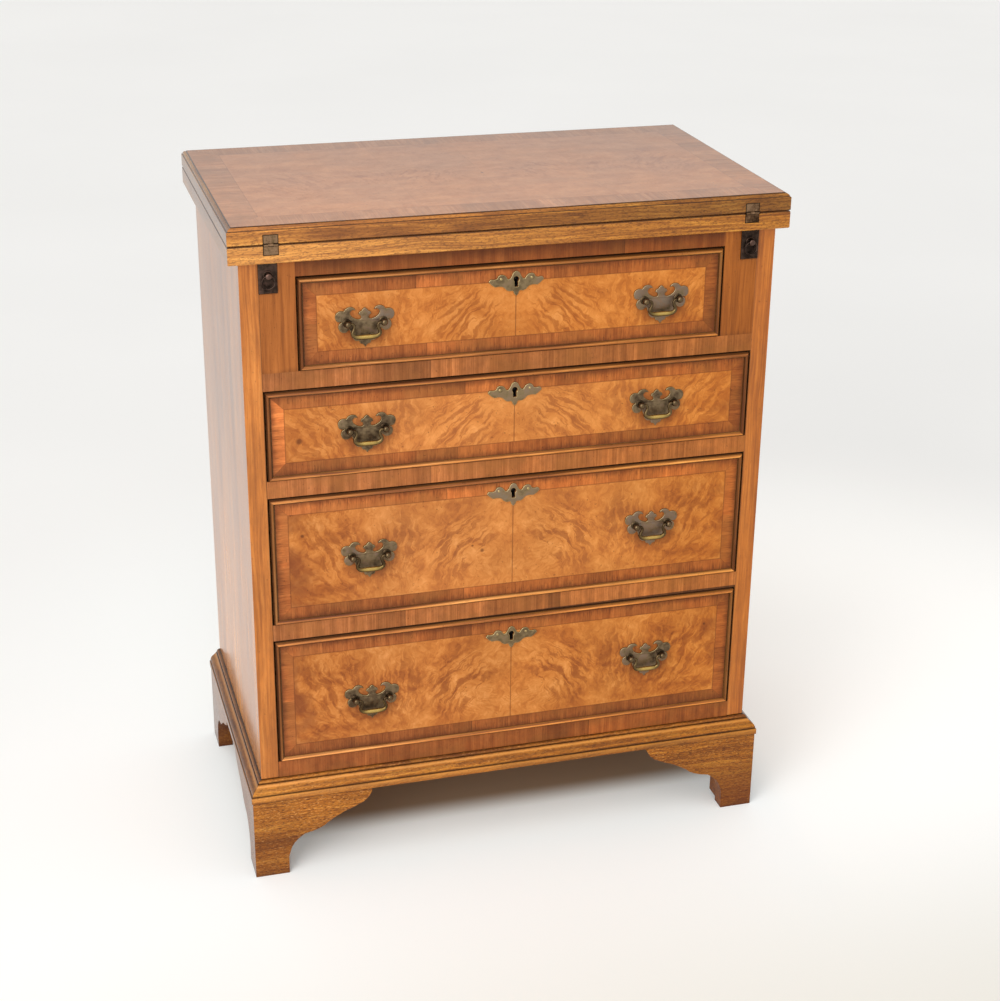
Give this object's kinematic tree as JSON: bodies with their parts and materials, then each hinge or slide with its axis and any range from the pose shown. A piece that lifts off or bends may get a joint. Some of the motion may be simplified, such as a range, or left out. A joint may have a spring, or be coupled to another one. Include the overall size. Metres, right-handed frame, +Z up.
{
  "type": "bachelors chest",
  "caption": "Small walnut chest of graduated drawers on bracket feet, with a folding top that opens forward onto pull-out lopers.",
  "frame": {"origin": "on the floor, under the middle of the whole chest", "axes": "+Z up, -Y out of the drawer fronts, +X to the right of someone facing them"},
  "size_m": [0.609, 0.354, 0.76],
  "materials": {
    "walnut_burr": "figured burr veneer under polished shellac",
    "walnut_crossband": "cross-grained veneer under polished shellac",
    "walnut_straight": "straight-grained walnut, polished",
    "walnut_top": "quartered veneer with a crossbanded border, polished",
    "mahogany": "stained and polished",
    "oak_lining": "unpolished drawer lining",
    "pine": "unpolished",
    "antique_brass": "aged, worn bright on the grips",
    "hinge_brass": "aged, flush in the leaf edges",
    "dark_bronze": "dark patina"
  },
  "bodies": {
    "carcass": {"foot_front_left": "mahogany", "foot_back_left": "mahogany", "base_frame_left": "mahogany", "side_left": "walnut_straight", "loper_case_left": "walnut_crossband", "hinge_lower_left": "hinge_brass", "foot_front_right": "mahogany", "foot_back_right": "mahogany", "base_frame_right": "mahogany", "side_right": "walnut_straight", "loper_case_right": "walnut_crossband", "hinge_lower_right": "hinge_brass", "base_frame_front": "mahogany", "base_frame_back": "pine", "back_panel": "pine", "bottom_board": "walnut_crossband", "rail_under_drawer_1": "walnut_crossband", "rail_under_drawer_2": "walnut_crossband", "rail_under_drawer_3": "walnut_crossband", "top_rail": "walnut_crossband", "lower_leaf": "walnut_straight"},
    "flap": {"upper_leaf": "walnut_top", "hinge_upper_left": "hinge_brass", "hinge_upper_right": "hinge_brass"},
    "loper_left": {"loper_left": "walnut_straight"},
    "loper_ring_left": {"loper_ring_left": "dark_bronze"},
    "loper_right": {"loper_right": "walnut_straight"},
    "loper_ring_right": {"loper_ring_right": "dark_bronze"},
    "drawer_1": {"drawer_1_front": "walnut_burr", "drawer_1_box": "oak_lining", "drawer_1_bottom": "pine", "drawer_1_escutcheon": "antique_brass", "drawer_1_pull_plate_left": "antique_brass", "drawer_1_pull_plate_right": "antique_brass"},
    "drawer_1_bail_left": {"drawer_1_bail_left": "antique_brass"},
    "drawer_1_bail_right": {"drawer_1_bail_right": "antique_brass"},
    "drawer_2": {"drawer_2_front": "walnut_burr", "drawer_2_box": "oak_lining", "drawer_2_bottom": "pine", "drawer_2_escutcheon": "antique_brass", "drawer_2_pull_plate_left": "antique_brass", "drawer_2_pull_plate_right": "antique_brass"},
    "drawer_2_bail_left": {"drawer_2_bail_left": "antique_brass"},
    "drawer_2_bail_right": {"drawer_2_bail_right": "antique_brass"},
    "drawer_3": {"drawer_3_front": "walnut_burr", "drawer_3_box": "oak_lining", "drawer_3_bottom": "pine", "drawer_3_escutcheon": "antique_brass", "drawer_3_pull_plate_left": "antique_brass", "drawer_3_pull_plate_right": "antique_brass"},
    "drawer_3_bail_left": {"drawer_3_bail_left": "antique_brass"},
    "drawer_3_bail_right": {"drawer_3_bail_right": "antique_brass"},
    "drawer_4": {"drawer_4_front": "walnut_burr", "drawer_4_box": "oak_lining", "drawer_4_bottom": "pine", "drawer_4_escutcheon": "antique_brass", "drawer_4_pull_plate_left": "antique_brass", "drawer_4_pull_plate_right": "antique_brass"},
    "drawer_4_bail_left": {"drawer_4_bail_left": "antique_brass"},
    "drawer_4_bail_right": {"drawer_4_bail_right": "antique_brass"}
  },
  "joints": [
    {"name": "flap_hinge", "type": "hinge", "parent": "carcass", "child": "flap", "pos_m": [0, -0.17358, 0.7408], "axis": [1, 0, 0], "range_deg": [0, 180]},
    {"name": "loper_left_slide", "type": "slide", "parent": "carcass", "child": "loper_left", "axis": [0, -1, 0], "range_m": [0, 0.225]},
    {"name": "loper_ring_left_swing", "type": "hinge", "parent": "loper_left", "child": "loper_ring_left", "pos_m": [-0.2613, -0.16892, 0.7075], "axis": [-1, 0, 0], "range_deg": [-8, 160]},
    {"name": "loper_right_slide", "type": "slide", "parent": "carcass", "child": "loper_right", "axis": [0, -1, 0], "range_m": [0, 0.225]},
    {"name": "loper_ring_right_swing", "type": "hinge", "parent": "loper_right", "child": "loper_ring_right", "pos_m": [0.2613, -0.16892, 0.7075], "axis": [-1, 0, 0], "range_deg": [-8, 160]},
    {"name": "drawer_1_slide", "type": "slide", "parent": "carcass", "child": "drawer_1", "axis": [0, -1, 0], "range_m": [0, 0.23]},
    {"name": "drawer_1_bail_left_swing", "type": "hinge", "parent": "drawer_1", "child": "drawer_1_bail_left", "pos_m": [-0.1623, -0.17062, 0.65062], "axis": [-1, 0, 0], "range_deg": [-13, 160]},
    {"name": "drawer_1_bail_right_swing", "type": "hinge", "parent": "drawer_1", "child": "drawer_1_bail_right", "pos_m": [0.1623, -0.17062, 0.65023], "axis": [-1, 0, 0], "range_deg": [-13, 160]},
    {"name": "drawer_2_slide", "type": "slide", "parent": "carcass", "child": "drawer_2", "axis": [0, -1, 0], "range_m": [0, 0.23]},
    {"name": "drawer_2_bail_left_swing", "type": "hinge", "parent": "drawer_2", "child": "drawer_2_bail_left", "pos_m": [-0.1623, -0.17062, 0.53255], "axis": [-1, 0, 0], "range_deg": [-13, 160]},
    {"name": "drawer_2_bail_right_swing", "type": "hinge", "parent": "drawer_2", "child": "drawer_2_bail_right", "pos_m": [0.1623, -0.17062, 0.53175], "axis": [-1, 0, 0], "range_deg": [-13, 160]},
    {"name": "drawer_3_slide", "type": "slide", "parent": "carcass", "child": "drawer_3", "axis": [0, -1, 0], "range_m": [0, 0.23]},
    {"name": "drawer_3_bail_left_swing", "type": "hinge", "parent": "drawer_3", "child": "drawer_3_bail_left", "pos_m": [-0.1623, -0.17062, 0.3854], "axis": [-1, 0, 0], "range_deg": [-13, 160]},
    {"name": "drawer_3_bail_right_swing", "type": "hinge", "parent": "drawer_3", "child": "drawer_3_bail_right", "pos_m": [0.1623, -0.17062, 0.38581], "axis": [-1, 0, 0], "range_deg": [-13, 160]},
    {"name": "drawer_4_slide", "type": "slide", "parent": "carcass", "child": "drawer_4", "axis": [0, -1, 0], "range_m": [0, 0.23]},
    {"name": "drawer_4_bail_left_swing", "type": "hinge", "parent": "drawer_4", "child": "drawer_4_bail_left", "pos_m": [-0.1623, -0.17062, 0.20914], "axis": [-1, 0, 0], "range_deg": [-13, 160]},
    {"name": "drawer_4_bail_right_swing", "type": "hinge", "parent": "drawer_4", "child": "drawer_4_bail_right", "pos_m": [0.1623, -0.17062, 0.21815], "axis": [-1, 0, 0], "range_deg": [-13, 160]}
  ]
}
